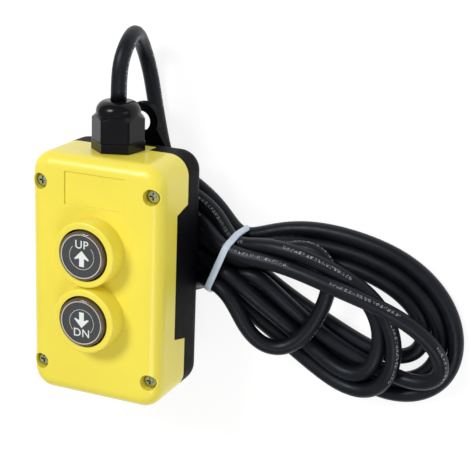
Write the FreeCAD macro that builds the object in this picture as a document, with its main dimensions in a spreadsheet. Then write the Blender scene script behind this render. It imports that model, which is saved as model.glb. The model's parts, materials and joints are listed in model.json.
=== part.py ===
import FreeCAD, Part
import math
import os
import Sketcher
from FreeCAD import Placement, Rotation, Vector

# Pendant control station lying on its back, front face up.
# Plan axes: X across the box, Y from its foot towards the cable end, Z out of the front.
# Sub-parts are drawn about the centre of the box, with the back pad at Z = 0, and are then
# placed so that the origin of the whole part is the middle of the hang eye.

doc = FreeCAD.newDocument("pendant_station")
sheet = doc.addObject("Spreadsheet::Sheet", "dim")

SIZES = [
    ("case_width", 74.5), ("case_height", 128.8), ("front_z", 55.0), ("wall", 3.0),
    ("corner_radius", 11.0), ("front_round", 7.0), ("back_z", 3.0), ("back_round", 10.5),
    ("parting_z", 24.2), ("side_parting_z", 36.3), ("tongue_z", 15.8), ("tongue_width", 29.0),
    ("side_top_y", 35.9), ("side_foot_y", -30.7), ("side_slant", 3.0), ("part_gap", 0.15),
    ("gasket_width", 1.2), ("gasket_thick", 0.9), ("gasket_inset", 0.9),
    ("screw_x", 31.3), ("screw_y", 49.0), ("post_radius", 5.0),
    ("head_radius", 3.6), ("head_height", 2.5), ("head_depth", 3.0), ("shank_radius", 1.95),
    ("counterbore_radius", 4.2), ("clearance_radius", 2.2), ("pilot_radius", 2.0),
    ("screw_length", 34.0),
    ("label_y", 47.7), ("label_width", 34.2), ("label_height", 17.0), ("label_depth", 0.8),
    ("button_pitch", 35.05), ("collar_radius", 17.3), ("collar_height", 10.95),
    ("collar_bore", 13.65), ("collar_round", 1.1), ("collar_taper", 1.5),
    ("travel", 4.0),
    ("lens_radius", 12.7), ("lens_top", 13.0), ("lens_wall", 1.2), ("lens_skirt", 10.9),
    ("lens_window", 0.7),
    ("lens_round", 1.3), ("disc_thick", 0.8),
    ("bezel_inner", 12.95), ("bezel_drop", 3.6), ("bezel_flange", 15.6), ("bezel_flange_thick", 1.2),
    ("plunger_radius", 11.4), ("plunger_height", 7.4), ("stem_radius", 3.5), ("stem_clearance", 0.05),
    ("spring_radius", 6.0), ("spring_wire", 0.9), ("spring_turns", 5.0),
    ("plate_z", 45.6), ("plate_thick", 1.4), ("plate_width", 50.0), ("plate_height", 82.0),
    ("plate_hole", 8.0), ("plate_screw_x", 21.0), ("plate_screw_y", 37.0),
    ("block_width", 38.0), ("block_height", 30.0), ("block_z", 21.6), ("bridge_z", 30.4),
    ("bridge_length", 26.0), ("bridge_width", 5.0), ("bridge_thick", 1.0),
    ("contact_clear", 0.05), ("rivet_height", 0.7), ("contact_radius", 1.8),
    ("contact_thick", 0.8), ("contact_x", 10.0),
    ("strip_thick", 1.0), ("strip_width", 6.0), ("strip_end", 18.0),
    ("terminal_x", 15.5), ("terminal_head", 2.6), ("terminal_shank", 1.45),
    ("block_screw_x", 14.0), ("block_screw_y", 11.5), ("block_screw", 1.4),
    ("gland_z", 30.1), ("gland_thread", 10.0), ("gland_flats", 24.0), ("gland_flange", 5.0),
    ("gland_turn", 20.0), ("gland_seat", 0.05),
    ("gland_washer", 0.9), ("gland_washer_radius", 11.4), ("gland_neck", 10.0),
    ("gland_tail", 12.0), ("gland_bore", 6.4), ("gland_nut", 13.2), ("gland_dome", 6.95),
    ("dome_radius", 11.4), ("dome_round", 5.6), ("locknut_flats", 27.0), ("locknut_thick", 5.0),
    ("cord_radius", 4.1), ("cord_clearance", 0.2),
    ("floor_z", -16.6), ("core_radius", 1.1),
    ("eye_height", 74.5), ("eye_bore", 5.5), ("eye_radius", 9.9), ("eye_thick", 5.5),
    ("eye_foot", 15.5), ("pad_width", 44.0), ("pad_height", 104.0),
    ("tie_width", 3.6), ("tie_thick", 1.2), ("sleeve_radius", 4.6),
    ("neck_top", 14.4),
    ("ring_bore", 3.2), ("ring_radius", 5.6), ("ring_thick", 1.0),
]

for row, (alias, value) in enumerate(SIZES, start=1):
    sheet.set(f"A{row}", alias)
    sheet.set(f"B{row}", str(value))
    sheet.setAlias(f"B{row}", alias)
doc.recompute()

AXES = {
    "x": Rotation(Vector(0, 1, 0), 90),
    "y": Rotation(Vector(1, 0, 0), -90),
    "z": Rotation(),
}
nodes = []


def size(alias):
    return float(sheet.get(alias))


def bind(obj, **formulas):
    """Bind properties to the sheet; a double underscore stands for a dot."""
    for name, formula in formulas.items():
        obj.setExpression(name.replace("__", "."), str(formula))
    return obj


def place(obj, x="0", y="0", z="0", axis="z", turn=0):
    """Put a primitive at sheet formulas x, y, z with its own axis along x, y or z."""
    obj.Placement = Placement(Vector(), AXES[axis] * Rotation(Vector(0, 0, 1), turn))
    formulas = zip("xyz", (x, y, z))
    for letter, formula in formulas:
        obj.setExpression(f"Placement.Base.{letter}", str(formula))
    return obj


def cylinder(name, radius, height, x="0", y="0", z="0", axis="z"):
    obj = doc.addObject("Part::Cylinder", name)
    bind(obj, Radius=radius, Height=height)
    return place(obj, x, y, z, axis)


def cone(name, foot, top, height, x="0", y="0", z="0", axis="z"):
    obj = doc.addObject("Part::Cone", name)
    bind(obj, Radius1=foot, Radius2=top, Height=height)
    return place(obj, x, y, z, axis)


def block(name, width, depth, height, x="0", y="0", z="0"):
    """A box centred on x and y, standing on z."""
    obj = doc.addObject("Part::Box", name)
    bind(obj, Length=width, Width=depth, Height=height)
    return place(obj, f"{x} - ({width}) / 2", f"{y} - ({depth}) / 2", z)


def hexagon(name, flats, height, x="0", y="0", z="0", axis="z", turn=0):
    obj = doc.addObject("Part::Prism", name)
    obj.Polygon = 6
    bind(obj, Circumradius=f"({flats}) / 2 / cos(30 deg)", Height=height)
    return place(obj, x, y, z, axis, turn)


def fuse(name, shapes):
    obj = doc.addObject("Part::MultiFuse", name)
    obj.Shapes = shapes
    obj.Refine = True
    return obj


def cut(name, base, tools):
    obj = doc.addObject("Part::Cut", name)
    obj.Base = base
    obj.Tool = tools[0] if len(tools) == 1 else fuse(name + "_tools", tools)
    obj.Refine = True
    return obj


def common(name, base, tool):
    obj = doc.addObject("Part::Common", name)
    obj.Base = base
    obj.Tool = tool
    return obj


def group(name, shapes):
    obj = doc.addObject("Part::Compound", name)
    obj.Links = shapes
    return obj


def solid(name, shape):
    obj = doc.addObject("Part::Feature", name)
    obj.Shape = shape
    return obj


def node(label, obj):
    """Name a finished sub-part and move it so that the middle of the hang eye is the origin."""
    formulas = dict(obj.ExpressionEngine)
    base = obj.Placement.Base
    obj.Label = label
    for letter, placed, shift in (
        ("y", base.y, "dim.eye_height"), ("z", base.z, "dim.eye_thick / 2"),
    ):
        path = f"Placement.Base.{letter}"
        own = formulas.get("." + path, formulas.get(path, str(placed)))
        obj.setExpression(path, f"({own}) - {shift}")
    nodes.append(obj)
    return obj


# ---- sketches and features of a PartDesign body ----

def new_body(name):
    return doc.addObject("PartDesign::Body", name)


def sketch_on(body, name, role="XY_Plane", offset="0"):
    plane = next(f for f in body.Origin.OriginFeatures if f.Role == role)
    sketch = body.newObject("Sketcher::SketchObject", name)
    sketch.AttachmentSupport = [(plane, "")]
    sketch.MapMode = "FlatFace"
    sketch.setExpression("AttachmentOffset.Base.z", str(offset))
    return sketch


def add_named(sketch, name, formula, *constraint):
    index = sketch.addConstraint(Sketcher.Constraint(*constraint))
    sketch.renameConstraint(index, name)
    sketch.setExpression(f"Constraints.{name}", formula)


def draw_rectangle(sketch, width, height, x="0", y="0", tag="r"):
    """A rectangle whose low corner is tied to the sketch origin by formulas."""
    corners = [Vector(-10, -10), Vector(10, -10), Vector(10, 10), Vector(-10, 10)]
    ids = [
        sketch.addGeometry(Part.LineSegment(corners[i], corners[(i + 1) % 4]))
        for i in range(4)
    ]
    for i in range(4):
        sketch.addConstraint(Sketcher.Constraint("Coincident", ids[i], 2, ids[(i + 1) % 4], 1))
    for i, kind in enumerate(("Horizontal", "Vertical", "Horizontal", "Vertical")):
        sketch.addConstraint(Sketcher.Constraint(kind, ids[i]))
    add_named(sketch, tag + "_width", width, "DistanceX", ids[0], 1, ids[0], 2, 20.0)
    add_named(sketch, tag + "_height", height, "DistanceY", ids[1], 1, ids[1], 2, 20.0)
    add_named(sketch, tag + "_x", f"{x} - ({width}) / 2", "DistanceX", -1, 1, ids[0], 1, -10.0)
    add_named(sketch, tag + "_y", f"{y} - ({height}) / 2", "DistanceY", -1, 1, ids[0], 1, -10.0)


def draw_circle(sketch, radius, x="0", y="0", tag="c"):
    index = sketch.addGeometry(Part.Circle(Vector(0, 0, 0), Vector(0, 0, 1), 5.0))
    add_named(sketch, tag + "_radius", radius, "Radius", index, 5.0)
    add_named(sketch, tag + "_x", x, "DistanceX", -1, 1, index, 3, 0.0)
    add_named(sketch, tag + "_y", y, "DistanceY", -1, 1, index, 3, 0.0)


def draw_polygon(sketch, points, tag="p"):
    """A closed outline whose corners are tied to sheet formulas."""
    count = len(points)
    values = [(float(i), float(i * i % 7)) for i in range(count)]
    ids = []
    for i in range(count):
        start = Vector(*values[i])
        end = Vector(*values[(i + 1) % count])
        ids.append(sketch.addGeometry(Part.LineSegment(start, end)))
    for i in range(count):
        sketch.addConstraint(Sketcher.Constraint("Coincident", ids[i], 2, ids[(i + 1) % count], 1))
    for i, (x, y) in enumerate(points):
        add_named(sketch, f"{tag}_x{i}", x, "DistanceX", -1, 1, ids[i], 1, values[i][0])
        add_named(sketch, f"{tag}_y{i}", y, "DistanceY", -1, 1, ids[i], 1, values[i][1])


def pad(body, sketch, length, reverse=False):
    feature = body.newObject("PartDesign::Pad", sketch.Name + "_pad")
    feature.Profile = sketch
    feature.setExpression("Length", length)
    feature.Reversed = reverse
    return feature


def pocket(body, sketch, length=None, reverse=False, midplane=False):
    """Cut a sketch away and make sure that it did remove material."""
    doc.recompute()
    before = body.Shape.Volume
    feature = body.newObject("PartDesign::Pocket", sketch.Name + "_pocket")
    feature.Profile = sketch
    feature.Reversed = reverse
    if midplane:
        feature.Midplane = True
    if length is None:
        feature.Type = "ThroughAll"
    else:
        feature.setExpression("Length", length)
    doc.recompute()
    if body.Shape.Volume > before - 0.01:
        raise RuntimeError(f"{sketch.Name} removed nothing")
    return feature


def round_edges(body, name, radius, wanted):
    """Fillet the edges of the tip whose mid-point and box satisfy the test."""
    doc.recompute()
    tip = body.Tip
    names = [
        f"Edge{i}" for i, edge in enumerate(tip.Shape.Edges, start=1) if wanted(edge)
    ]
    feature = body.newObject("PartDesign::Fillet", name)
    feature.Base = (tip, names)
    feature.setExpression("Radius", radius)
    doc.recompute()
    return feature


def upright(edge):
    box = edge.BoundBox
    return box.XLength < 1e-4 and box.YLength < 1e-4


def flat_at(edge, z):
    box = edge.BoundBox
    return box.ZLength < 1e-4 and abs(box.ZMin - z) < 1e-4


FOUR_CORNERS = [(sx, sy) for sy in (1, -1) for sx in (-1, 1)]
BLOCK_SCREWS = [(-1, 1), (1, -1)]
RUN_SHARE = 0.45
SPRING_CORNERS = 12
STRIP_TOP = (
    "dim.bridge_z - dim.contact_thick - dim.travel - dim.contact_clear - dim.rivet_height"
)
BUTTONS = {"up": "dim.button_pitch / 2", "down": "-dim.button_pitch / 2"}


# ---- casing ----

def rounded_box(body, name, z_low, z_high, inset="0"):
    outline = sketch_on(body, name, offset=z_low)
    draw_rectangle(
        outline, f"dim.case_width - 2 * ({inset})", f"dim.case_height - 2 * ({inset})"
    )
    pad(body, outline, f"{z_high} - ({z_low})")
    round_edges(body, name + "_corners", f"dim.corner_radius - ({inset})", upright)


def side_outline(low, grow):
    """Corners, as height and depth, of the part of the rear casing that laps up the sides."""
    return [
        (f"dim.side_top_y + dim.side_slant + {grow}", low),
        (f"dim.side_top_y + dim.side_slant + {grow}", f"dim.parting_z + {grow}"),
        (f"dim.side_top_y + {grow}", f"dim.side_parting_z + {grow}"),
        (f"dim.side_foot_y - {grow}", f"dim.side_parting_z + {grow}"),
        (f"dim.side_foot_y - dim.side_slant - {grow}", f"dim.parting_z + {grow}"),
        (f"dim.side_foot_y - dim.side_slant - {grow}", low),
    ]


def side_prism(name, low, grow):
    """The lap of both sides as one prism right across the box."""
    body = new_body(name)
    outline = sketch_on(body, name + "_outline", "YZ_Plane")
    draw_polygon(outline, side_outline(low, grow))
    feature = pad(body, outline, "dim.case_width + 10")
    feature.Midplane = True
    return body


def rear_region(name, grow, lift):
    """Everything behind the parting surface, moved forward by lift."""
    slab = block(
        name + "_slab", "dim.case_width + 8", "dim.case_height + 8", f"dim.parting_z + {lift} + 10",
        z="-10",
    )
    lap = side_prism(name + "_lap", "0", f"{grow}")
    whole = fuse(name + "_whole", [slab, lap])
    tongue = block(
        name + "_tongue", f"dim.tongue_width - 2 * ({grow})", "20",
        f"dim.parting_z - dim.tongue_z + 10", y="dim.case_height / 2 - dim.wall + 10",
        z=f"dim.tongue_z + {lift}",
    )
    return cut(name, whole, [tongue])


def wall_ring(name, inset, width, z_low, z_high):
    """A rounded rectangular ring inside the thickness of the wall."""
    outer = new_body(name + "_outer")
    rounded_box(outer, name + "_outer_box", z_low, z_high, inset)
    inner = new_body(name + "_inner")
    rounded_box(inner, name + "_inner_box", f"{z_low} - 1", f"{z_high} + 1", f"{inset} + {width}")
    return cut(name, outer, [inner])


def make_gasket(name):
    """A strip inside the wall that follows the stepped parting surface."""
    ring = wall_ring(name + "_ring", "dim.gasket_inset", "dim.gasket_width", "10", "45")
    ahead = rear_region(name + "_ahead", "dim.gasket_thick", "dim.gasket_thick")
    strip = common(name + "_strip", ring, ahead)
    behind = rear_region(name + "_behind", "0", "0")
    return cut(name, strip, [behind])


def make_front_cover(gasket):
    body = new_body("cover_body")
    rounded_box(body, "cover_shell", "dim.parting_z", "dim.front_z")
    front = size("front_z")
    round_edges(body, "cover_front_round", "dim.front_round", lambda e: flat_at(e, front))

    for name, height in BUTTONS.items():
        collar = sketch_on(body, f"{name}_collar", offset="dim.front_z")
        draw_circle(collar, "dim.collar_radius", y=height)
        feature = pad(body, collar, "dim.collar_height")
        feature.setExpression("TaperAngle", "-dim.collar_taper")
    top = front + size("collar_height")
    round_edges(body, "collar_lips", "dim.collar_round", lambda e: flat_at(e, top))

    holes = sketch_on(body, "button_holes", offset="dim.front_z + dim.collar_height + 1")
    for name, height in BUTTONS.items():
        draw_circle(holes, "dim.collar_bore", y=height, tag=name)
    pocket(body, holes, "dim.collar_height + dim.wall + 2")

    label = sketch_on(body, "label_recess", offset="dim.front_z")
    draw_rectangle(label, "dim.label_width", "dim.label_height", y="dim.label_y")
    pocket(body, label, "dim.label_depth")

    cavity = new_body("cover_cavity")
    rounded_box(cavity, "cover_cavity_box", "dim.parting_z - 1", "dim.front_z - dim.wall", "dim.wall")
    shell = cut("cover_hollow", body, [cavity])
    return cut("front_cover", fuse("cover_whole", [shell] + cover_additions()), cover_cuts(gasket))


def cover_additions():
    """Screw posts, bosses for the switch plate and the tongue that carries the gland."""
    pieces = [block(
        "cable_tongue", "dim.tongue_width", "dim.wall", "dim.parting_z - dim.tongue_z + 1",
        y="(dim.case_height - dim.wall) / 2", z="dim.tongue_z",
    )]
    for i, (sx, sy) in enumerate(FOUR_CORNERS):
        pieces.append(cylinder(
            f"cover_post_{i}", "dim.post_radius", "dim.front_z - dim.wall - dim.parting_z + 0.5",
            f"{sx} * dim.screw_x", f"{sy} * dim.screw_y", "dim.parting_z",
        ))
        pieces.append(cylinder(
            f"plate_boss_{i}", "3.6", "dim.front_z - dim.wall - dim.plate_z - dim.plate_thick + 0.5",
            f"{sx} * dim.plate_screw_x", f"{sy} * dim.plate_screw_y", "dim.plate_z + dim.plate_thick",
        ))
    return pieces


def cover_cuts(gasket):
    """Screw holes, the gland hole, the side laps of the rear casing and the gasket groove."""
    tools = [side_prism("cover_side_laps", "0", "dim.part_gap"), gasket]
    for i, (sx, sy) in enumerate(FOUR_CORNERS):
        tools.append(cylinder(
            f"cover_counterbore_{i}", "dim.counterbore_radius", "10",
            f"{sx} * dim.screw_x", f"{sy} * dim.screw_y",
            "dim.front_z - dim.head_depth - dim.head_height",
        ))
        tools.append(cylinder(
            f"cover_clearance_{i}", "dim.clearance_radius", "dim.front_z",
            f"{sx} * dim.screw_x", f"{sy} * dim.screw_y",
        ))
        tools.append(cylinder(
            f"cover_pilot_{i}", "1.5", "dim.front_z - 1.5 - dim.plate_z",
            f"{sx} * dim.plate_screw_x", f"{sy} * dim.plate_screw_y", "dim.plate_z",
        ))
    tools.append(cylinder(
        "gland_hole", "dim.gland_thread + 0.2", "20", y="dim.case_height / 2 - 10",
        z="dim.gland_z", axis="y",
    ))
    return tools


def make_rear_casing(gasket):
    body = new_body("casing_body")
    rounded_box(body, "casing_shell", "dim.back_z", "dim.parting_z - dim.part_gap")
    back = size("back_z")
    round_edges(body, "casing_back_round", "dim.back_round", lambda e: flat_at(e, back))

    back_pad = sketch_on(body, "back_pad")
    draw_rectangle(back_pad, "dim.pad_width", "dim.pad_height")
    pad(body, back_pad, "dim.back_z + 1")
    half = size("pad_width") / 2
    round_edges(
        body, "back_pad_corners", "8",
        lambda e: upright(e) and e.BoundBox.ZMin < 1e-4 and abs(abs(e.BoundBox.XMin) - half) < 1e-4,
    )
    round_edges(body, "back_pad_round", "1.5", lambda e: flat_at(e, 0.0))

    inner = new_body("casing_inside")
    rounded_box(inner, "casing_inside_box", "dim.back_z + dim.wall", "dim.parting_z + 40", "dim.wall")
    floor = back + size("wall")
    round_edges(
        inner, "casing_inside_round", "dim.back_round - dim.wall", lambda e: flat_at(e, floor)
    )

    lap_ring = wall_ring(
        "lap_ring", "0", "dim.wall", "dim.parting_z - dim.part_gap - 1",
        "dim.side_parting_z + 5",
    )
    laps = common("laps", lap_ring, side_prism("casing_side_laps", "dim.parting_z - 5", "0"))
    posts = [
        cylinder(
            f"casing_post_{i}", "dim.post_radius", "dim.parting_z - dim.part_gap - dim.back_z - 2",
            f"{sx} * dim.screw_x", f"{sy} * dim.screw_y", "dim.back_z + 2",
        )
        for i, (sx, sy) in enumerate(FOUR_CORNERS)
    ]
    posts_inside = common("casing_posts", fuse("casing_posts_raw", posts), casing_envelope())
    shell = cut("casing_hollow", body, [inner])

    tools = [gasket]
    tools.append(block(
        "tongue_notch", "dim.tongue_width + 2 * dim.part_gap", "20", "30",
        y="dim.case_height / 2 - dim.wall - dim.part_gap + 10", z="dim.tongue_z - dim.part_gap",
    ))
    for i, (sx, sy) in enumerate(FOUR_CORNERS):
        tools.append(cylinder(
            f"casing_pilot_{i}", "dim.pilot_radius", "40",
            f"{sx} * dim.screw_x", f"{sy} * dim.screw_y", "dim.back_z + dim.wall + 3",
        ))
    tools.append(cylinder("eye_hole", "dim.eye_bore", "40", y="dim.eye_height", z="-10"))
    whole = fuse("casing_whole", [shell, posts_inside, laps, make_eye()])
    return cut("rear_casing", whole, tools)


def casing_envelope():
    body = new_body("casing_envelope")
    rounded_box(body, "casing_envelope_box", "dim.back_z", "dim.parting_z", "0.4")
    back = size("back_z")
    round_edges(body, "casing_envelope_round", "dim.back_round - 0.4", lambda e: flat_at(e, back))
    return body


def make_eye():
    """A flat lug that grows out of the back pad, with a thicker rim round its hole."""
    lug = cylinder("eye_lug", "dim.eye_radius", "dim.eye_thick", y="dim.eye_height")
    body = new_body("eye_foot_body")
    outline = sketch_on(body, "eye_foot_outline")
    draw_polygon(outline, [
        ("-dim.eye_foot", "dim.case_height / 2 - 16"),
        ("dim.eye_foot", "dim.case_height / 2 - 16"),
        ("dim.eye_foot", "dim.case_height / 2 - 3"),
        ("dim.eye_radius * 0.94", "dim.eye_height - 3.4"),
        ("-dim.eye_radius * 0.94", "dim.eye_height - 3.4"),
        ("-dim.eye_foot", "dim.case_height / 2 - 3"),
    ])
    pad(body, outline, "dim.eye_thick")
    return fuse("eye", [lug, body])


# ---- fasteners ----

def pan_screw(name, head, head_height, shank, length, x, y, z, down=True):
    """A pan head with a cross recess, seated at z; its shank points down, or up if not down."""
    head_foot = z if down else f"{z} - ({head_height})"
    crown = f"({head_height}) * 0.45"
    rim = f"({head_height}) * 0.55"
    if down:
        pieces = [
            cylinder(name + "_rim", head, rim, x, y, head_foot),
            cone(name + "_crown", head, f"({head}) * 0.68", crown, x, y, f"{head_foot} + {rim}"),
            cylinder(name + "_shank", shank, f"{length} + 0.5", x, y, f"{z} - ({length})"),
        ]
        recess_z = f"{head_foot} + ({head_height}) * 0.4"
    else:
        pieces = [
            cylinder(name + "_rim", head, rim, x, y, f"{z} - {rim}"),
            cone(name + "_crown", f"({head}) * 0.68", head, crown, x, y, head_foot),
            cylinder(name + "_shank", shank, f"{length} + 0.5", x, y, f"{z} - 0.5"),
        ]
        recess_z = f"{head_foot} - ({head_height}) * 0.4"
    slots = [
        block(name + "_slot_a", f"({head}) * 1.1", f"({head}) * 0.24", head_height, x, y, recess_z),
        block(name + "_slot_b", f"({head}) * 0.24", f"({head}) * 1.1", head_height, x, y, recess_z),
    ]
    return cut(name, fuse(name + "_body", pieces), slots)


def make_cover_screws():
    return group("cover_screws", [
        pan_screw(
            f"cover_screw_{i}", "dim.head_radius", "dim.head_height", "dim.shank_radius",
            "dim.screw_length", f"{sx} * dim.screw_x", f"{sy} * dim.screw_y",
            "dim.front_z - dim.head_depth - dim.head_height",
        )
        for i, (sx, sy) in enumerate(FOUR_CORNERS)
    ])


def make_plate_screws():
    return group("plate_screws", [
        pan_screw(
            f"plate_screw_{i}", "2.6", "1.8", "1.45", "dim.plate_thick + 4.5",
            f"{sx} * dim.plate_screw_x", f"{sy} * dim.plate_screw_y", "dim.plate_z", down=False,
        )
        for i, (sx, sy) in enumerate(FOUR_CORNERS)
    ])


def make_switch_plate():
    body = new_body("switch_plate_body")
    outline = sketch_on(body, "plate_outline", offset="dim.plate_z")
    draw_rectangle(outline, "dim.plate_width", "dim.plate_height")
    pad(body, outline, "dim.plate_thick")
    round_edges(body, "plate_corners", "3", upright)
    holes = sketch_on(body, "plate_holes", offset="dim.plate_z + dim.plate_thick")
    for name, height in BUTTONS.items():
        draw_circle(holes, "dim.plate_hole", y=height, tag=name)
    for i, (sx, sy) in enumerate(FOUR_CORNERS):
        draw_circle(
            holes, "1.6", f"{sx} * dim.plate_screw_x", f"{sy} * dim.plate_screw_y", f"c{i}"
        )
    for name, height in BUTTONS.items():
        for i, (sx, sy) in enumerate(BLOCK_SCREWS):
            draw_circle(
                holes, "dim.block_screw + 0.05", f"{sx} * dim.block_screw_x",
                f"{height} + {sy} * dim.block_screw_y", f"{name}{i}",
            )
    pocket(body, holes, "dim.plate_thick + 1")
    return body


# ---- one push button and its contact block ----

def make_lens(name, height):
    """A clear cap: flat top with a rounded edge and a long skirt."""
    top = "dim.front_z + dim.lens_top"
    outer = [
        cylinder(name + "_skirt", "dim.lens_radius", "dim.lens_skirt - dim.lens_round", y=height,
                 z=f"{top} - dim.lens_skirt"),
        cone(name + "_edge", "dim.lens_radius", "dim.lens_radius - dim.lens_round",
             "dim.lens_round", y=height, z=f"{top} - dim.lens_round"),
    ]
    hollow = cylinder(
        name + "_hollow", "dim.lens_radius - dim.lens_wall", "dim.lens_skirt - dim.lens_window",
        y=height, z=f"{top} - dim.lens_skirt",
    )
    return cut(name, fuse(name + "_outer", outer), [hollow])


def make_legend(name, height):
    return cylinder(
        name, "dim.plunger_radius", "dim.disc_thick", y=height,
        z="dim.front_z + dim.lens_top - dim.lens_window - dim.disc_thick",
    )


def make_plunger(name, height):
    """A round head that carries the cap, on a stem that reaches the contact bridge."""
    head_z = "dim.front_z + dim.lens_top - dim.lens_window - dim.disc_thick - dim.plunger_height"
    head = cylinder(name + "_head", "dim.plunger_radius", "dim.plunger_height", y=height, z=head_z)
    stem = cylinder(
        name + "_stem", "dim.stem_radius", f"{head_z} - dim.bridge_z - dim.bridge_thick + 1",
        y=height, z="dim.bridge_z + dim.bridge_thick",
    )
    tip = cylinder(
        name + "_tip", "1.2", "dim.bridge_thick + 1.4", y=height, z="dim.bridge_z - 0.4",
    )
    return fuse(name, [head, stem, tip])


def make_bezel(name, height):
    """A dark guide ring inside the collar, held from behind by its flange."""
    top = "dim.front_z + dim.collar_height - dim.bezel_drop"
    foot = "dim.front_z - dim.wall - dim.bezel_flange_thick"
    tube = cylinder(name + "_tube", "dim.collar_bore - 0.05", f"{top} - ({foot})", y=height, z=foot)
    flange = cylinder(
        name + "_flange", "dim.bezel_flange", "dim.bezel_flange_thick", y=height, z=foot
    )
    bore = cylinder(name + "_bore", "dim.bezel_inner", "40", y=height, z="dim.plate_z")
    return cut(name, fuse(name + "_outer", [tube, flange]), [bore])


def make_spring(name, height):
    """A round-wire compression spring between the switch plate's level and the plunger."""
    wire = size("spring_wire") / 2
    foot = size("plate_z") + wire + 0.05
    head_z = (
        size("front_z") + size("lens_top") - size("lens_window") - size("disc_thick")
        - size("plunger_height")
    )
    rise = head_z - wire - 0.05 - foot
    corners = int(size("spring_turns")) * SPRING_CORNERS
    corner_radius = (size("spring_radius") - wire) / math.cos(math.pi / SPRING_CORNERS)
    points = []
    for i in range(corners + 1):
        angle = 2 * math.pi * i / SPRING_CORNERS
        points.append(Vector(
            corner_radius * math.cos(angle), corner_radius * math.sin(angle),
            foot + rise * i / corners,
        ))
    obj = tube(name, points, wire)
    obj.setExpression("Placement.Base.y", height)
    return obj


def make_contact_block(name, height):
    """A moulded block with a cavity for the bridge, open round the stem."""
    depth = "dim.plate_z - dim.block_z"
    body = block(name + "_body", "dim.block_width", "dim.block_height", depth, y=height,
                 z="dim.block_z")
    tools = [
        block(name + "_cavity", "dim.bridge_length + 4", "dim.bridge_width + 4",
              f"dim.plate_z - 5 - ({STRIP_TOP})", y=height, z=STRIP_TOP),
        cylinder(name + "_guide", "dim.stem_radius + dim.stem_clearance", "40", y=height,
                 z="dim.bridge_z"),
    ]
    for side in (-1, 1):
        tools.append(block(
            f"{name}_strip_slot_{side}", "dim.strip_end - 6", "dim.strip_width", "dim.strip_thick",
            f"{side} * (dim.strip_end + 6) / 2", height, f"{STRIP_TOP} - dim.strip_thick",
        ))
        tools.append(cylinder(
            f"{name}_terminal_hole_{side}", "dim.terminal_shank + 0.1", "9",
            f"{side} * dim.terminal_x", height, "dim.block_z - 1",
        ))
        tools.append(block(
            f"{name}_terminal_pocket_{side}", "8", "8",
            f"{STRIP_TOP} - dim.strip_thick - dim.block_z + 1",
            f"{side} * (dim.terminal_x + 0.5)", height, "dim.block_z - 1",
        ))
    for i, (sx, sy) in enumerate(BLOCK_SCREWS):
        tools.append(cylinder(
            f"{name}_screw_hole_{i}", "dim.block_screw + 0.05", "40", f"{sx} * dim.block_screw_x",
            f"{height} + {sy} * dim.block_screw_y", "dim.block_z - 1",
        ))
    return cut(name, body, tools)


def make_bridge(name, height):
    bar = block(name + "_bar", "dim.bridge_length", "dim.bridge_width", "dim.bridge_thick",
                y=height, z="dim.bridge_z")
    tips = [
        cylinder(f"{name}_tip_{side}", "dim.contact_radius", "dim.contact_thick",
                 f"{side} * dim.contact_x", height, "dim.bridge_z - dim.contact_thick")
        for side in (-1, 1)
    ]
    hole = cylinder(name + "_hole", "1.2", "10", y=height, z="dim.bridge_z - 5")
    return cut(name, fuse(name + "_solid", [bar] + tips), [hole])


def make_fixed_contacts(name, height):
    """The two brass strips, each with a contact rivet inside and a terminal end outside."""
    strip_z = f"{STRIP_TOP} - dim.strip_thick"
    strips = []
    for side in (-1, 1):
        strip = block(
            f"{name}_strip_{side}", "dim.strip_end - 6", "dim.strip_width", "dim.strip_thick",
            f"{side} * (dim.strip_end + 6) / 2", height, strip_z,
        )
        rivet = cylinder(
            f"{name}_rivet_{side}", "dim.contact_radius", "dim.rivet_height + dim.strip_thick / 2",
            f"{side} * dim.contact_x", height, f"{STRIP_TOP} - dim.strip_thick / 2",
        )
        hole = cylinder(
            f"{name}_hole_{side}", "dim.terminal_shank + 0.1", "10", f"{side} * dim.terminal_x",
            height, f"{strip_z} - 5",
        )
        strips.append(cut(f"{name}_{side}", fuse(f"{name}_solid_{side}", [strip, rivet]), [hole]))
    return group(name, strips)


def make_terminal_screws(name, height):
    seat = f"{STRIP_TOP} - dim.strip_thick"
    return group(name, [
        pan_screw(
            f"{name}_{i}", "dim.terminal_head", "1.6", "dim.terminal_shank", "2.6",
            f"{side} * dim.terminal_x", height, seat, down=False,
        )
        for i, side in enumerate((-1, 1))
    ])


def make_block_screws():
    screws = []
    for name, height in BUTTONS.items():
        for i, (sx, sy) in enumerate(BLOCK_SCREWS):
            screws.append(pan_screw(
                f"{name}_block_screw_{i}", "2.5", "1.8", "dim.block_screw",
                "dim.plate_z + dim.plate_thick - dim.block_z", f"{sx} * dim.block_screw_x",
                f"{height} + {sy} * dim.block_screw_y", "dim.block_z", down=False,
            ))
    return group("block_screws", screws)


# ---- cable gland, along Y through the top wall ----

def along_gland(name, radius, start, length):
    return cylinder(name, radius, length, y=f"dim.case_height / 2 + {start}", z="dim.gland_z", axis="y")


def gland_hexagon(name, height, start):
    """A hexagon round the gland's axis; the flange and the nut stand the same way round."""
    prism = hexagon(
        name, "dim.gland_flats", height, y=f"dim.case_height / 2 + {start}", z="dim.gland_z",
        axis="y",
    )
    prism.Placement = Placement(Vector(), AXES["y"] * Rotation(Vector(0, 0, 1), size("gland_turn")))
    return prism


def make_gland_washer():
    ring = along_gland("washer_ring", "dim.gland_washer_radius", "0", "dim.gland_washer")
    return cut("gland_washer", ring, [along_gland("washer_bore", "dim.gland_thread + 0.1", "-1", "5")])


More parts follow.
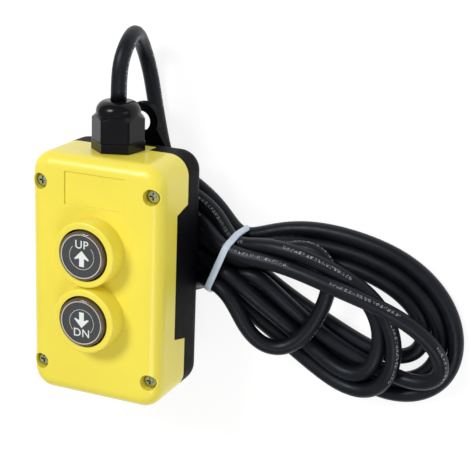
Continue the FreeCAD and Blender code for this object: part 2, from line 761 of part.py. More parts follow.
def make_gland_body():
    """Hexagon flange with a thread each side of it, bored for the cable and its seal."""
    flange = gland_hexagon("flange_hex", "dim.gland_flange - dim.gland_seat", "dim.gland_seat")
    neck = along_gland(
        "gland_neck", "dim.gland_thread - 0.3", "1", "dim.gland_flange + dim.gland_neck - 1",
    )
    tail = along_gland("gland_tail", "dim.gland_thread", "-dim.gland_tail", "dim.gland_tail + 2")
    washer_seat = cut(
        "washer_seat",
        along_gland("washer_seat_outer", "dim.gland_washer_radius + 0.05", "-1",
                    "dim.gland_washer + 1.02"),
        [along_gland("washer_seat_inner", "dim.gland_thread", "-2", "5")],
    )
    tools = [
        washer_seat,
        along_gland("gland_through", "dim.cord_radius + 0.6", "-20", "60"),
        along_gland("gland_seal_seat", "dim.gland_bore", "dim.gland_flange + 1", "20"),
    ]
    return cut("gland_body", fuse("gland_solid", [flange, neck, tail]), tools)


def make_gland_seal():
    start = "dim.gland_flange + 1"
    ring = along_gland("seal_ring", "dim.gland_bore - 0.05", start, "dim.gland_neck - 1.5")
    bore = along_gland("seal_bore", "dim.cord_radius + 0.05", "0", "40")
    return cut("gland_seal", ring, [bore])


def make_gland_nut():
    """Hexagon nut that closes in a smooth dome round the cable."""
    start = "dim.gland_flange + 0.3"
    corner_radius = "dim.gland_flats / 2 / cos(30 deg)"
    flats = gland_hexagon("nut_hex", "dim.gland_nut", start)
    corner = along_gland("nut_round", f"{corner_radius} - 0.35", start, "dim.gland_nut")
    chamfer = cone(
        "nut_chamfer", f"{corner_radius} + 11.3", "dim.gland_flats / 2 - 0.4",
        "dim.gland_nut + 0.01", y=f"dim.case_height / 2 + {start}", z="dim.gland_z", axis="y",
    )
    body = common("nut_body", common("nut_flats", flats, corner), chamfer)
    base = along_gland(
        "nut_dome_base", "dim.dome_radius", f"{start} + dim.gland_nut - 1", "dim.gland_dome + 1",
    )
    doc.recompute()
    top = max(range(len(base.Shape.Edges)), key=lambda i: base.Shape.Edges[i].CenterOfMass.y)
    dome = doc.addObject("Part::Fillet", "nut_dome")
    dome.Base = base
    dome.Edges = [(top + 1, size("dome_round"), size("dome_round"))]
    inside = along_gland(
        "nut_inside", "dim.gland_thread - 0.25", start, "dim.gland_neck + 0.5",
    )
    throat = along_gland("nut_throat", "dim.cord_radius + dim.cord_clearance", "0", "60")
    return cut("gland_nut", fuse("nut_solid", [body, dome]), [inside, throat])


def make_gland_locknut():
    start = "-dim.wall - dim.locknut_thick"
    nut = hexagon(
        "locknut_hex", "dim.locknut_flats", "dim.locknut_thick",
        y=f"dim.case_height / 2 + {start}", z="dim.gland_z", axis="y", turn=30,
    )
    bore = along_gland("locknut_bore", "dim.gland_thread + 0.05", "-30", "40")
    return cut("gland_locknut", nut, [bore])


# ---- cable ----

def gland_face():
    """Height, from the centre of the box, of the face that the cable leaves."""
    return (
        size("case_height") / 2 + size("gland_flange") + 0.3
        + size("gland_nut") + size("gland_dome")
    )


def rounded_path(points):
    """Straight runs joined by tangent arcs as large as the two runs allow."""
    edges = []
    radii = []
    start = points[0]
    for before, corner, after in zip(points, points[1:], points[2:]):
        into = corner - before
        out = after - corner
        half = into.getAngle(out) / 2
        reach = RUN_SHARE * min(into.Length, out.Length)
        radius = reach / math.tan(half)
        into.normalize()
        out.normalize()
        inward = out - into
        inward.normalize()
        first = corner - into * reach
        last = corner + out * reach
        middle = corner + inward * (radius / math.cos(half) - radius)
        edges.append(Part.LineSegment(start, first).toShape())
        edges.append(Part.Arc(first, middle, last).toShape())
        radii.append(radius)
        start = last
    edges.append(Part.LineSegment(start, points[-1]).toShape())
    return Part.Wire(edges), radii


def tube(name, points, radius):
    """Sweep a round section along the rounded path and check its volume."""
    path, radii = rounded_path(points)
    direction = points[1] - points[0]
    profile = Part.Wire(Part.makeCircle(radius, points[0], direction))
    shape = path.makePipeShell([profile], True, False)
    expected = math.pi * radius ** 2 * path.Length
    if abs(shape.Volume / expected - 1) > 0.01:
        raise RuntimeError(f"{name}: volume {shape.Volume:.0f}, expected {expected:.0f}")
    print(name, "length", round(path.Length, 1), "radii", [round(r, 1) for r in radii])
    return solid(name, shape)


def lead_route():
    """From the gland round a loop down to the surface, then back under the box."""
    gland = size("gland_z")
    lying = size("floor_z") + size("cord_radius")
    return [
        Vector(0, gland_face(), gland),
        Vector(0.3, 100, gland + 0.5),
        Vector(1.3, 110, gland + 0.2),
        Vector(1.8, 118, gland - 5.2),
        Vector(0.2, 122.2, gland - 15.6),
        Vector(-3.0, 118.6, gland - 27.4),
        Vector(-4.6, 109.5, gland - 37.2),
        Vector(-3.4, 96.5, lying + 0.2),
        Vector(-0.8, 82, lying),
        Vector(2.8, 67, lying),
        Vector(5.6, 54, lying),
        Vector(6.8, 42, lying),
    ]


def make_cable_entry():
    """The jacket inside the gland, ending just inside the box."""
    return along_gland(
        "cable_entry", "dim.cord_radius", "-dim.gland_tail - 3",
        "dim.gland_tail + 3 + dim.gland_flange + 0.3 + dim.gland_nut + dim.gland_dome",
    )


def core_routes():
    """Each core runs from the end of the jacket to the pocket of its terminal."""
    start_y = size("case_height") / 2 - size("gland_tail") - 3
    gland = size("gland_z")
    up = size("button_pitch") / 2
    side = size("block_width") / 2
    level = size("block_z") - 0.9
    routes = {}
    for name, sx, target in (
        ("core_white", -1, up), ("core_black", 1, up), ("core_red", -1, -up), ("core_green", 1, -up),
    ):
        upper = target > 0
        spread = 1.5 if upper else 1.7
        height = gland + (1.6 if upper else -1.6)
        outside = side + (4.0 if upper else 8.0)
        elbow = outside - (6 if upper else 1)
        routes[name] = [
            Vector(sx * spread, start_y, height),
            Vector(sx * (spread + 1.0), start_y - 7, height - (2 if upper else 4.5)),
            Vector(sx * elbow, start_y - 12, level + (3 if upper else 0.5)),
            Vector(sx * outside, target + 14, level),
            Vector(sx * outside, target + 4, level - 0.4),
            Vector(sx * (side - 0.3), target, level - 0.4),
        ]
    return routes


def tie_frame():
    """Placement of the tie: the bundle passes through it along its own X axis."""
    return Placement(TIE_CENTRE, Rotation(Vector(0, 0, 1), TIE_TURN))


# The tie: where it stands and its turn, the width, length and corner of the tied bundle.
TIE_CENTRE = Vector(49.5, 3.5, 0)
TIE_TURN = -22
NECK_WIDTH = 34.0
NECK_LENGTH = 22.0
NECK_CORNER = 9.0
TIE_ROOM = 0.2
TIE_HEAD = (6.4, 4.6, 6.6)
# The hank: the disc and outline of its lobe under the box, and of its fan beside it.
LOBE_TOP = -0.4
LOBE_CENTRE = (-24, 7)
LOBE_RADIUS = 35
LOBE_OUTLINE = [
    (-24, 42), (20, 42), (31, 38), (58, 22), (43, -14), (34, -18), (-24, -28), (-24, 42),
]
LOBE_FOOT = (14, 20)
FAN_TOP = 6.0
FAN_CENTRE = (133, -15.5)
FAN_RADIUS = 44
BULGE_CENTRE = (83, -20)
BULGE_RADIUS = 31
FAN_OUTLINE = [
    (58, 22), (92, 29), (133, 28.5), (133, -59.5), (100, -52), (70, -48), (52, -28), (43, -14),
    (58, 22),
]


def neck_box(length, grow, low, high):
    """A rounded block round the bundle where it is tied."""
    width = NECK_WIDTH + 2 * grow
    shape = Part.makeBox(length, width, high - low + 2 * grow)
    shape.translate(Vector(-length / 2, -width / 2, low - grow))
    edges = [e for e in shape.Edges if e.BoundBox.XLength > length - 0.01]
    return shape.makeFillet(NECK_CORNER + grow, edges)


def casing_clearance():
    """The space of the casing's back, with room round it, that the hank stays out of."""
    room = 0.8
    width = size("case_width") + 2 * room
    height = size("case_height") + 2 * room
    shape = Part.makeBox(
        width, height, 60, Vector(-width / 2, -height / 2, size("back_z") - room)
    )
    upright_edges = [e for e in shape.Edges if e.BoundBox.ZLength > 1]
    shape = shape.makeFillet(size("corner_radius") + room, upright_edges)
    low = [e for e in shape.Edges if e.BoundBox.ZMax < size("back_z")]
    return shape.makeFillet(size("back_round") + room, low)


def prism_of(outline, height):
    """An upright solid on the floor with this outline."""
    wire = Part.makePolygon([Vector(x, y, size("floor_z")) for x, y in outline])
    return Part.Face(wire).extrude(Vector(0, 0, height))


def make_hank():
    """Outer shape of the tied hank: lobe under the box, tied neck and wide fan beside it."""
    floor = size("floor_z")
    lobe_height = LOBE_TOP - floor
    fan_height = FAN_TOP - floor
    lobe_disc = Part.makeCylinder(LOBE_RADIUS, lobe_height, Vector(*LOBE_CENTRE, floor))
    step = Part.makeBox(
        *LOBE_FOOT, lobe_height, end_point() - Vector(LOBE_FOOT[0] / 2, 0, size("cord_radius")),
    )
    lobe = lobe_disc.fuse([prism_of(LOBE_OUTLINE, lobe_height), step])
    fan = Part.makeCylinder(FAN_RADIUS, fan_height, Vector(*FAN_CENTRE, floor))
    bulge = Part.makeCylinder(BULGE_RADIUS, fan_height, Vector(*BULGE_CENTRE, floor))
    fan_all = fan.fuse([bulge, prism_of(FAN_OUTLINE, fan_height)])
    frame = tie_frame()
    gap = size("tie_width") + 3
    waist = Part.makeBox(gap, 120, 80, Vector(-gap / 2, -60, -40))
    waist.Placement = frame
    neck = neck_box(NECK_LENGTH, 0.0, floor + size("tie_thick") + TIE_ROOM, size("neck_top"))
    neck.Placement = frame
    keep_out = casing_clearance()
    whole = lobe.fuse(fan_all).cut(waist).fuse(neck).cut(keep_out).removeSplitter()
    return solid("cable_hank", whole.Solids[0] if len(whole.Solids) == 1 else whole)


def make_tie():
    """A flat strap round the neck of the hank, its locking head low on the side towards the foot."""
    floor = size("floor_z")
    low = floor + size("tie_thick") + TIE_ROOM
    outer = neck_box(size("tie_width"), size("tie_thick"), low, size("neck_top"))
    inner = neck_box(size("tie_width") + 4, 0.05, low, size("neck_top"))
    strap = outer.cut(inner)
    side = -(NECK_WIDTH / 2 + 0.06)
    head = Part.makeBox(*TIE_HEAD, Vector(-TIE_HEAD[0] / 2, side - TIE_HEAD[1], low + 1.5))
    head = head.makeFillet(0.8, [e for e in head.Edges if e.BoundBox.YMax < side - 1])
    shape = strap.fuse(head)
    obj = solid("cable_tie", shape)
    obj.Placement = tie_frame()
    return obj


def end_point():
    """Where the jacket leaves the lobe of the hank, pointing to the foot of the box."""
    return Vector(-46, -24, size("floor_z") + size("cord_radius"))


END_DIRECTION = Vector(0.10, -1, 0)
END_TUBE = 12.0
END_SLEEVE = 18.0
BARREL_RADIUS = 1.9
BARREL_LENGTH = 7.0


def end_along(distance):
    direction = Vector(END_DIRECTION)
    direction.normalize()
    return end_point() + direction * distance


def make_end_tube():
    shape = Part.makeCylinder(size("cord_radius"), END_TUBE, end_point(), END_DIRECTION)
    return solid("cable_end", shape)


def make_end_sleeve():
    """Shrink sleeve over the end of the jacket."""
    rise = size("sleeve_radius") - size("cord_radius") + 0.05
    start = end_along(END_TUBE) + Vector(0, 0, rise)
    shape = Part.makeCylinder(size("sleeve_radius"), END_SLEEVE, start, END_DIRECTION)
    return solid("end_sleeve", shape)


def end_lead_routes():
    """Four cores fan out of the sleeve and come down to the surface."""
    floor = size("floor_z")
    start = end_along(END_TUBE + END_SLEEVE)
    routes = []
    for i in range(4):
        off = i - 1.5
        reach = 22 + 5 * (i % 2)
        routes.append([
            Vector(start.x + off * 2.3, start.y, start.z),
            Vector(start.x + off * 3.2, start.y - 8, floor + 3.0),
            Vector(start.x + off * 6.2, start.y - 0.6 * reach - 3, floor + 2.0),
            Vector(start.x + off * 9.0, start.y - reach, floor + 1.95),
        ])
    return routes


def make_end_leads():
    return group("end_leads", [
        tube(f"end_lead_{i}", points, size("core_radius"))
        for i, points in enumerate(end_lead_routes())
    ])


def make_ring_terminal(i, points):
    """A crimp barrel on one core and a flat ring beyond it, lying on the surface."""
    direction = points[-1] - points[-2]
    direction.z = 0
    direction.normalize()
    start = points[-1]
    barrel = Part.makeCylinder(BARREL_RADIUS, BARREL_LENGTH, start, direction)
    centre = start + direction * (BARREL_LENGTH + size("ring_radius") - 1.0)
    centre.z = size("floor_z") + 0.4
    disc = Part.makeCylinder(size("ring_radius"), size("ring_thick"), centre)
    hole = Part.makeCylinder(size("ring_bore"), 10, centre - Vector(0, 0, 5))
    placed = centre - Vector(0, size("eye_height"), size("eye_thick") / 2)
    print("ring", i, "centre", *[round(value, 3) for value in placed])
    return solid(f"ring_{i}", barrel.fuse(disc).cut(hole).removeSplitter())


def build():
    node("cover_gasket", make_gasket("gasket"))
    groove = make_gasket("groove")
    node("front_cover", make_front_cover(groove))
    node("rear_casing", make_rear_casing(groove))
    node("cover_screws", make_cover_screws())
    node("switch_plate", make_switch_plate())
    node("plate_screws", make_plate_screws())
    node("block_screws", make_block_screws())
    for name, height in BUTTONS.items():
        node(f"{name}_lens", make_lens(f"{name}_lens", height))
        node(f"{name}_legend_disc", make_legend(f"{name}_legend_disc", height))
        node(f"{name}_plunger", make_plunger(f"{name}_plunger", height))
        node(f"{name}_bezel", make_bezel(f"{name}_bezel", height))
        node(f"{name}_return_spring", make_spring(f"{name}_return_spring", height))
        node(f"{name}_contact_block", make_contact_block(f"{name}_contact_block", height))
        node(f"{name}_contact_bridge", make_bridge(f"{name}_contact_bridge", height))
        node(f"{name}_fixed_contacts", make_fixed_contacts(f"{name}_fixed_contacts", height))
        node(f"{name}_terminal_screws", make_terminal_screws(f"{name}_terminal_screws", height))
    node("gland_washer", make_gland_washer())
    node("gland_body", make_gland_body())
    node("gland_seal", make_gland_seal())
    node("gland_nut", make_gland_nut())
    node("gland_locknut", make_gland_locknut())
    node("cable_entry", make_cable_entry())
    for name, points in core_routes().items():
        node(name, tube(name, points, size("core_radius")))
    node("cable_lead", tube("cable_lead", lead_route(), size("cord_radius")))
    node("cable_hank", make_hank())
    node("cable_tie", make_tie())
    node("cable_end", make_end_tube())
    node("end_sleeve", make_end_sleeve())
    node("end_leads", make_end_leads())
    node("ring_terminals", group("ring_terminals", [
        make_ring_terminal(i, points) for i, points in enumerate(end_lead_routes())
    ]))


def check_and_write():
    doc.recompute()
    faults = [o.Name for o in doc.Objects if "Invalid" in o.State or "Error" in o.State]
    if faults:
        raise RuntimeError(f"failed objects: {faults}")
    os.makedirs("parts", exist_ok=True)
    for obj in nodes:
        shape = obj.Shape
        if shape.isNull() or not shape.isValid():
            raise RuntimeError(f"{obj.Label} is not a valid shape")
        shape.exportStep(f"parts/{obj.Label}.step")
        box = shape.BoundBox
        print(
            f"{obj.Label:24s} solids {len(shape.Solids)} volume {shape.Volume:10.1f}",
            [round(v, 1) for v in (box.XMin, box.YMin, box.ZMin, box.XMax, box.YMax, box.ZMax)],
        )


build()
check_and_write()
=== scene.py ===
"""Looks of the pendant control station: cord, prints, tie, materials, light and camera."""
import json
import math

import bmesh
import bpy
import numpy as np
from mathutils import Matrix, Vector


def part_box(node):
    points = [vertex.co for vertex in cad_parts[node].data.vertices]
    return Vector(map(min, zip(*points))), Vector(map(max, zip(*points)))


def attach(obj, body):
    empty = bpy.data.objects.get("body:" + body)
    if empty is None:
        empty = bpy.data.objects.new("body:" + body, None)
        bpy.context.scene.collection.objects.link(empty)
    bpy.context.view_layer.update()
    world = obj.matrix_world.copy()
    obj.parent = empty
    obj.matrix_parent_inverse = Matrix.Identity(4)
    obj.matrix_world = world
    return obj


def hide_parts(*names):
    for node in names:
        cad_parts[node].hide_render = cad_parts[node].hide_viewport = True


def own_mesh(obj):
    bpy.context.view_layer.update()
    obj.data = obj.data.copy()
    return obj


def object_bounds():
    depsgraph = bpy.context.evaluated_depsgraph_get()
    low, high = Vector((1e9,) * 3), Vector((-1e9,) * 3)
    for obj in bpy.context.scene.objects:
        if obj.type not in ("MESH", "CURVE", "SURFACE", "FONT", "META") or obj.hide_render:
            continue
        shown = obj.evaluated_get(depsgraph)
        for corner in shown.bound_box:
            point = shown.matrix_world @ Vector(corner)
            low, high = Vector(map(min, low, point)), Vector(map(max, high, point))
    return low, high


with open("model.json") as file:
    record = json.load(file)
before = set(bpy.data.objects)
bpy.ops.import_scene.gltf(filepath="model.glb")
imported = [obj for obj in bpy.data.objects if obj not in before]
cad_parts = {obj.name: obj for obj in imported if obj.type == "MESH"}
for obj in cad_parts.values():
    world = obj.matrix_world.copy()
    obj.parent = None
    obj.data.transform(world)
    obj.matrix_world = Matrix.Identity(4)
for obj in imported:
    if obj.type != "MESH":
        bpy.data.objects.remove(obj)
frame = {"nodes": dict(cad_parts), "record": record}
cad_box = [list(corner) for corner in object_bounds()]
nodes = frame["nodes"]

MM = 0.001
HOUSING = "housing"
# The middle of the box, at the plane of its back pad, in the row frame, in millimetres.
BOX_CENTRE = np.array([0.0, -74.5, -2.75])


def link(obj):
    """Put a new object in the scene, and hand it back."""
    bpy.context.scene.collection.objects.link(obj)
    return obj


def row(points):
    """Row frame, in metres, of points in millimetres about the middle of the box."""
    return (np.asarray(points, float) + BOX_CENTRE) * MM


# ---- camera ----

def make_camera():
    data = bpy.data.cameras.new("camera")
    data.lens = 98.47
    data.sensor_width = 36.0
    data.clip_start = 0.01
    camera = link(bpy.data.objects.new("camera", data))
    camera.location = (0.3046, 0.1463, 0.5971)
    camera.rotation_euler = [math.radians(angle) for angle in (-16.46, 23.24, 2.27)]
    bpy.context.scene.camera = camera


make_camera()


# ---- mesh helpers ----

def distances(line):
    """How far along the line each of its points is."""
    return np.concatenate([[0], np.cumsum(np.linalg.norm(np.diff(line, axis=0), axis=1))])


def grid_faces(rows, around, steps):
    """Four-sided faces between so many rows of points, each row closed on itself."""
    return [
        (i * around + k, i * around + (k + 1) % around,
         ((i + 1) % rows) * around + (k + 1) % around, ((i + 1) % rows) * around + k)
        for i in range(steps) for k in range(around)
    ]


def mesh_piece(name, verts, faces, smooth=True):
    mesh = bpy.data.meshes.new(name)
    mesh.from_pydata([tuple(v) for v in verts], [], faces)
    mesh.update()
    if smooth:
        mesh.shade_smooth()
    return link(bpy.data.objects.new(name, mesh))


def nurbs_line(name, points, steps):
    """Points along a quadratic NURBS spline that has these control points."""
    curve = bpy.data.curves.new(name, "CURVE")
    curve.dimensions = "3D"
    curve.resolution_u = steps
    spline = curve.splines.new("NURBS")
    spline.points.add(len(points) - 1)
    for point, place in zip(spline.points, points):
        point.co = (*place, 1.0)
    spline.order_u = 3
    spline.use_endpoint_u = True
    holder = link(bpy.data.objects.new(name, curve))
    mesh = bpy.data.meshes.new_from_object(holder)
    line = np.array([vert.co for vert in mesh.vertices])
    bpy.data.meshes.remove(mesh)
    bpy.data.objects.remove(holder)
    bpy.data.curves.remove(curve)
    gaps = np.linalg.norm(np.diff(line, axis=0), axis=1)
    return line[np.concatenate([[True], gaps > 1e-7])]


def carried_frames(line):
    """Two directions across the line at each of its points, carried along it without twist."""
    tangents = np.gradient(line, axis=0)
    tangents /= np.linalg.norm(tangents, axis=1)[:, None]
    side = np.cross(tangents[0], [0.0, 0.0, 1.0])
    if np.linalg.norm(side) < 0.1:
        side = np.cross(tangents[0], [1.0, 0.0, 0.0])
    sides = []
    for tangent in tangents:
        side = side - tangent * side.dot(tangent)
        side = side / np.linalg.norm(side)
        sides.append(side)
    sides = np.array(sides)
    return sides, np.cross(tangents, sides)


def tube_piece(name, line, radius, around=20):
    """A closed round tube along the line, with its skin coordinates in an attribute."""
    sides, ups = carried_frames(line)
    turns = np.linspace(0, 2 * math.pi, around, endpoint=False)
    rings = (
        line[:, None, :]
        + radius * np.cos(turns)[None, :, None] * sides[:, None, :]
        + radius * np.sin(turns)[None, :, None] * ups[:, None, :]
    )
    count = len(line)
    faces = grid_faces(count, around, count - 1)
    faces.append(tuple(reversed(range(around))))
    faces.append(tuple((count - 1) * around + k for k in range(around)))
    piece = mesh_piece(name, rings.reshape(-1, 3), faces)
    skin = np.empty((count, around, 3))
    skin[:, :, 0] = distances(line)[:, None]
    skin[:, :, 1] = np.cos(turns)[None, :]
    skin[:, :, 2] = np.sin(turns)[None, :]
    layer = piece.data.attributes.new("skin", "FLOAT_VECTOR", "POINT")
    layer.data.foreach_set("vector", skin.ravel())
    return piece


def lathe_piece(name, profile, centre, zones, around=96):
    """A closed ring turned about the upright line through centre, with a material zone per step."""
    turns = np.linspace(0, 2 * math.pi, around, endpoint=False)
    verts = []
    for radius, height in profile:
        for turn in turns:
            verts.append((
                centre[0] + radius * math.cos(turn),
                centre[1] + radius * math.sin(turn),
                centre[2] + height,
            ))
    piece = mesh_piece(name, row(verts), grid_faces(len(profile), around, len(profile)))
    piece.data.set_sharp_from_angle(angle=math.radians(28))
    for face in piece.data.polygons:
        face.material_index = zones[face.index // around]
    return piece


# ---- the cord: gland loop, hank of seven turns, and its far end ----

CORD = 8.2
CORD_RADIUS = CORD / 2
FLOOR = cad_box[0][2] / MM - BOX_CENTRE[2]
TIE_CENTRE = np.array([49.5, 3.5])
TIE_TURN = math.radians(-22)
ALONG = np.array([math.cos(TIE_TURN), math.sin(TIE_TURN)])
ACROSS = np.array([-math.sin(TIE_TURN), math.cos(TIE_TURN)])
NECK_HALF = 17.0 - CORD_RADIUS
NECK_TOP = 14.4 - CORD_RADIUS
NECK_LOW = FLOOR + 1.4 + CORD_RADIUS
LAYER = 7.15
TIED_LENGTH = 6.0

# The route that isn't coiled, in metres: out of the gland, round the loop and under the box.
LEAD = [
    (0.0, 0.01535, 0.02735), (0.0003, 0.0255, 0.02785), (0.0013, 0.0355, 0.02755),
    (0.0018, 0.0435, 0.02215), (0.0002, 0.0477, 0.01175), (-0.0030, 0.0441, -0.00005),
    (-0.0046, 0.0350, -0.00985), (-0.0034, 0.0220, -0.01505), (-0.0008, 0.0075, -0.01525),
    (0.0026, -0.0085, -0.01525), (0.0054, -0.0200, -0.01525),
]
# From there into the neck, and from the neck to the far end, in millimetres about the box.
ENTRY = [(10, 47, -12.5), (17.5, 41.5, -12.5), (28, 35, -12.5), (39, 26.5, -12.5), (47, 19.5, -11.5)]
LEAVING = [
    (38, -3.5, 3), (28, -6, -1), (20, -10, -6), (9, -18, -11.5), (-6, -24.5, -12.5),
    (-20, -27.2, -12.5), (-31, -27.6, -12.5), (-38.5, -28.6, -12.5), (-43, -31.5, -12.5),
]
FAR_END = [(-0.0449, -0.1105, -0.01525), (-0.0445, -0.1145, -0.01525)]

# The turns beside the box nest in each other. One line for each: place across the neck and layer
# in it going out, the same coming back, how far in it nests, the way to its tip in degrees, half
# width going out and back, heights.
FAN_REACH = 130.0
FAN_PITCH = 9.0
FAN_BEND = -10.0
FAN_LEVEL = 7.6
# How far from the tie a turn takes to open, to come down and to leave its place in the neck.
OPENED_BY = 16.0
LOW_BY = 60.0
OWN_WAY_BY = 70.0
FAN_TURNS = [
    ((12.3, 0), (-12.3, 0), 0, -18, 44, 40, (0.0, 0.0)),
    ((8.2, 1), (-8.2, 1), 1, -18, 36, 38, (0.3, 0.0)),
    ((4.1, 0), (-4.1, 0), 2, -18, 32, 36, (0.8, 0.3)),
    ((0, 1), (0, 3), 4, -30, 42, 20, (1.4, 1.4)),
    ((4.1, 2), (-8.2, 3), 9, -32, 50, 28, (1.6, 2.4)),
    ((12.3, 2), (-12.3, 2), 2.5, -28, 42, 32, (2.8, 1.5)),
    ((8.2, 3), (-4.1, 2), 0.5, -20, 22, 34, (3.4, 0.4)),
]
# One line for each turn under the box: places in the neck going out and back, radius, layer.
LOBE_TURNS = [
    ((-12.3, 0), (8.2, 1), 33.0, 0),
    ((-8.2, 1), (4.1, 0), 24.8, 0),
    ((-4.1, 0), (0, 1), 16.6, 0),
    ((0, 3), (4.1, 2), 16.6, 1),
    ((-8.2, 3), (12.3, 2), 33.0, 1),
    ((-12.3, 2), (8.2, 3), 24.8, 1),
]
LOBE_CENTRE = np.array([-20.0, 14.0])
TURN_POINTS = 61
RUN_POINTS = 21
DOWN_BY = 0.55
SETTLE_STEP = 4.0
SETTLE_ROUNDS = 300
SINK = 0.10
HOLD = 0.006
TOUCHING = CORD * 1.01
# The casing's rounded back, as half its size about its middle, with the gap that the cord keeps.
CASE_MIDDLE = np.array([0, 0, 29.0])
CASE_HALF = np.array([37.25, 64.4, 29.0])
CASE_CORNER = 10.5
CASE_GAP = 0.4


def ease(x):
    """A smooth step from 0 to 1."""
    x = np.clip(x, 0, 1)
    return x * x * (3 - 2 * x)


def neck_height(layer):
    """Height of the strands of a layer inside the tie."""
    return NECK_LOW + LAYER * layer


def fan_turn(leave, back, nest, tip, upper, lower, levels):
    """A teardrop turn beside the box, from the neck and back to it."""
    t = np.linspace(0, 1, TURN_POINTS)
    s = np.sin(math.pi * t) ** 2
    out = t < 0.5
    x = (FAN_REACH - FAN_PITCH * nest) * s
    opened = ease(x / OPENED_BY + 0.5)
    y = 2 * np.where(out, upper, lower) * s * np.cos(math.pi * t) * opened
    angle = TIE_TURN + (np.radians(tip + FAN_BEND * (s - 1)) - TIE_TURN) * opened
    shift = np.where(out, leave[0], back[0]) * (1 - ease(x / OWN_WAY_BY))
    plan = TIE_CENTRE + np.stack([
        x * np.cos(angle) - y * np.sin(angle), x * np.sin(angle) + y * np.cos(angle),
    ], axis=1) + shift[:, None] * ACROSS
    at_neck = np.where(out, neck_height(leave[1]), neck_height(back[1]))
    lying = FLOOR + CORD_RADIUS + np.interp(t, [0.25, 0.75], levels) * FAN_LEVEL
    return np.column_stack([plan, at_neck + (lying - at_neck) * ease(x / LOW_BY)])


def bridge(start, start_way, end, end_way):
    """A smooth run between two points, leaving and arriving in these directions."""
    t = np.linspace(0, 1, RUN_POINTS)[:, None]
    gap = np.linalg.norm(end - start)
    return (
        (2 * t ** 3 - 3 * t ** 2 + 1) * start + (t ** 3 - 2 * t ** 2 + t) * gap * start_way
        + (3 * t ** 2 - 2 * t ** 3) * end + (t ** 3 - t ** 2) * gap * end_way
    )


def lobe_turn(leave, back, radius, layer):
    """A turn under the box: out of the neck, half round the lobe's centre and back."""
    west = np.array([-1.0, 0.0])
    low, high = (LOBE_CENTRE + [0, side * radius] for side in (-1, 1))
    out = bridge(TIE_CENTRE + leave[0] * ACROSS, -ALONG, low, west)
    home = bridge(high, -west, TIE_CENTRE + back[0] * ACROSS, ALONG)
    turns = np.linspace(-math.pi / 2, -3 * math.pi / 2, RUN_POINTS)[1:-1]
    arc = LOBE_CENTRE + radius * np.stack([np.cos(turns), np.sin(turns)], axis=1)
    lying = FLOOR + CORD_RADIUS + layer * CORD
    ramp = ease(np.linspace(0, 1, RUN_POINTS) / DOWN_BY)
    heights = np.concatenate([
        neck_height(leave[1]) + (lying - neck_height(leave[1])) * ramp,
        np.full(len(arc), lying),
        neck_height(back[1]) + (lying - neck_height(back[1])) * ramp[::-1],
    ])
    return np.column_stack([np.vstack([out, arc, home]), heights])[1:-1]


def evenly(points, step):
    """The same line with points this far apart."""
    along = distances(points)
    places = np.linspace(0, along[-1], int(round(along[-1] / step)) + 1)
    return np.column_stack([np.interp(places, along, points[:, k]) for k in range(3)])


def spread(values, weight, span):
    """Move each value towards the mean of its neighbours that many places away."""
    middle = (values[:-2 * span] + values[2 * span:]) / 2
    values[span:-span] += (middle - values[span:-span]) * weight


def keep_below_box(points):
    """Push points out of the casing's rounded back."""
    offset = points - CASE_MIDDLE
    beyond = np.abs(offset) - (CASE_HALF - CASE_CORNER)
    outside = np.maximum(beyond, 0)
    reach = np.linalg.norm(outside, axis=1)
    distance = reach + np.minimum(beyond.max(axis=1), 0) - CASE_CORNER
    push = np.zeros_like(points)
    near = reach > 1e-6
    push[near] = outside[near] / reach[near, None] * np.sign(offset[near])
    push[~near] = (0, 0, -1)
    depth = np.clip(CORD_RADIUS + CASE_GAP - distance, 0, None)
    points += push * depth[:, None]


def keep_in_neck(points):
    """Hold the strands inside the tie."""
    plan = points[:, :2] - TIE_CENTRE
    tied = np.abs(plan @ ALONG) < TIED_LENGTH
    across = plan @ ACROSS
    shift = np.clip(across, -NECK_HALF, NECK_HALF) - across
    points[:, :2] += np.where(tied, shift, 0)[:, None] * ACROSS
    points[:, 2] = np.where(tied, np.clip(points[:, 2], NECK_LOW, NECK_TOP), points[:, 2])


def settle(points):
    """Let the turns come down on each other, on the floor and clear of the box."""
    points = evenly(points, SETTLE_STEP)
    for _ in range(12):
        spread(points, 0.5, 1)
    drawn = points.copy()
    apart = int(math.ceil(CORD * 1.7 / SETTLE_STEP))
    for step in range(SETTLE_ROUNDS):
        done = step / SETTLE_ROUNDS
        points[:, 2] -= SINK * (1 - 0.6 * done)
        points[:, :2] += (drawn[:, :2] - points[:, :2]) * HOLD * (1 - done)
        if step % 6 == 0:
            gaps = ((points[:, None, :] - points[None, :, :]) ** 2).sum(axis=2)
            first, second = np.nonzero(np.triu(gaps < (CORD * 1.5) ** 2, apart))
        for _ in range(2):
            between = points[second] - points[first]
            gap = np.linalg.norm(between, axis=1)
            close = gap < TOUCHING
            way = between[close] / np.maximum(gap[close], 1e-6)[:, None]
            push = way * ((TOUCHING - gap[close]) * 0.3)[:, None]
            np.add.at(points, first[close], -push)
            np.add.at(points, second[close], push)
            keep_in_neck(points)
            keep_below_box(points)
            points[:, 2] = np.maximum(points[:, 2], FLOOR + CORD_RADIUS)
            points[0] = drawn[0]
            points[-1] = drawn[-1]
        moved = points - drawn
        for _ in range(3 if done < 0.85 else 1):
            spread(moved, 0.5, 1)
            spread(moved, 0.3, 2)
        points = drawn + moved
    for _ in range(3):
        spread(points, 0.5, 1)
    return points


def hank_points():
    """The whole hank, a turn beside the box and one under it by turns, settled."""
    stretches = [np.array(ENTRY, float)]
    for i, turn in enumerate(FAN_TURNS):
        stretches.append(fan_turn(*turn))
        if i < len(LOBE_TURNS):
            stretches.append(lobe_turn(*LOBE_TURNS[i]))
    stretches.append(np.array(LEAVING, float))
    return settle(np.vstack(stretches))


